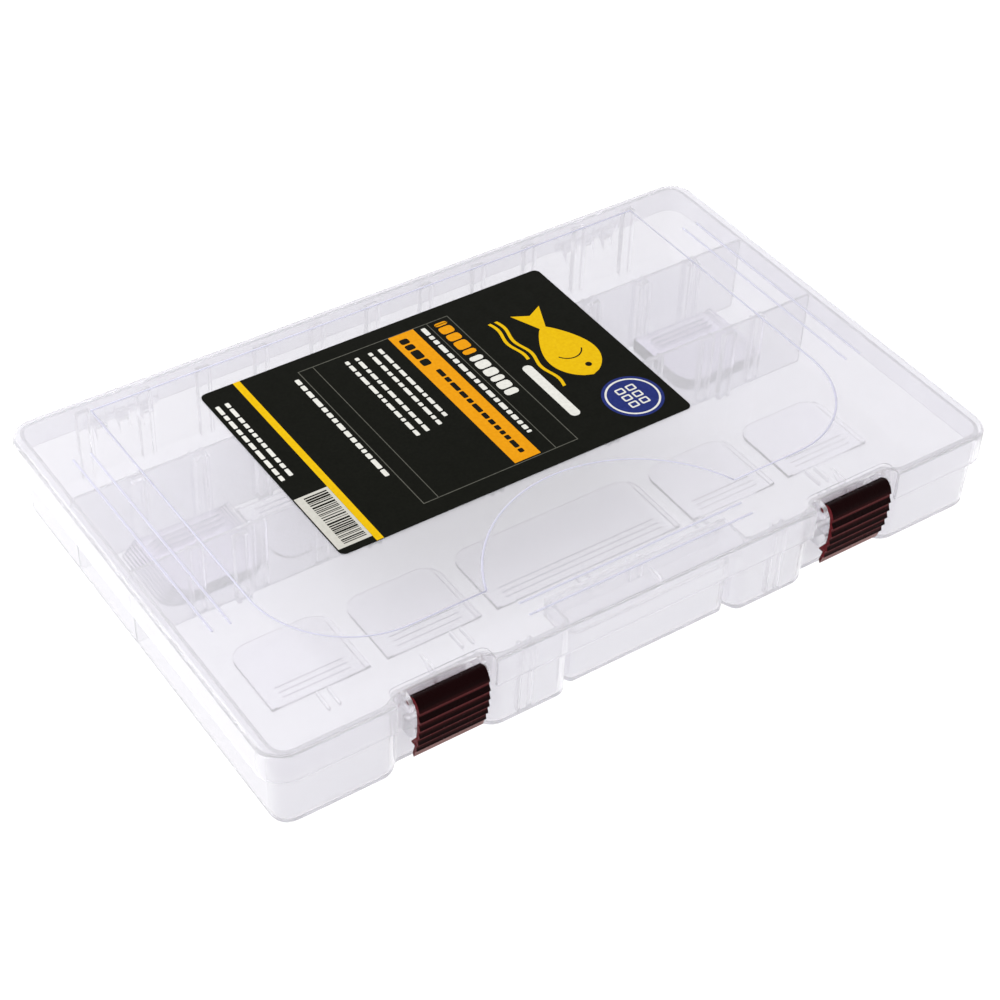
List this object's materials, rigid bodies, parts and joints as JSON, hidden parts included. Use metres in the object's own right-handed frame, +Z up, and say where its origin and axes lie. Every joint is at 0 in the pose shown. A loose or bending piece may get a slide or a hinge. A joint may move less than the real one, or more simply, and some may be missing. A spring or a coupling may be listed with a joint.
{
  "type": "fishing tackle box",
  "caption": "Flat clear tackle box with a hinged lid, ribbed swing latches, a compartment tray with divider slots, loose dividers and a printed card on the lid.",
  "frame": {"origin": "middle of the footprint, on the surface that the box stands on", "axes": "+X along the length to the right as seen from the latches, +Y to the hinges at the back, +Z up"},
  "size_m": [0.3556, 0.2318, 0.042],
  "materials": {
    "clear_plastic": "clear glossy moulded polypropylene with a faint lavender cast",
    "divider_plastic": "clear polypropylene, slightly cloudier than the box",
    "latch_plastic": "opaque dark maroon moulded plastic, satin",
    "printed_card": null
  },
  "bodies": {
    "tray": {"tray": "clear_plastic", "divider_front_1": "divider_plastic", "divider_front_2": "divider_plastic", "divider_front_3": "divider_plastic", "divider_front_4": "divider_plastic", "divider_front_long": "divider_plastic", "divider_middle": "divider_plastic", "divider_left_1": "divider_plastic", "divider_left_2": "divider_plastic", "divider_left_3": "divider_plastic", "divider_left_4": "divider_plastic", "divider_left_5": "divider_plastic", "divider_left_6": "divider_plastic", "divider_right_1": "divider_plastic", "divider_right_2": "divider_plastic", "divider_right_3": "divider_plastic", "divider_right_4": "divider_plastic", "divider_right_5": "divider_plastic", "divider_right_6": "divider_plastic"},
    "lid": {"lid": "clear_plastic", "label_card": "printed_card"},
    "latch_left": {"latch_left": "latch_plastic"},
    "latch_right": {"latch_right": "latch_plastic"}
  },
  "joints": [
    {"name": "lid_hinge", "type": "hinge", "parent": "tray", "child": "lid", "pos_m": [0, 0.113, 0.025], "axis": [-1, 0, 0], "range_deg": [0, 180]},
    {"name": "latch_left_pivot", "type": "hinge", "parent": "lid", "child": "latch_left", "pos_m": [-0.1005, -0.1095, 0.0385], "axis": [-1, 0, 0], "range_deg": [0, 100]},
    {"name": "latch_right_pivot", "type": "hinge", "parent": "lid", "child": "latch_right", "pos_m": [0.1005, -0.1095, 0.0385], "axis": [-1, 0, 0], "range_deg": [0, 100]}
  ]
}
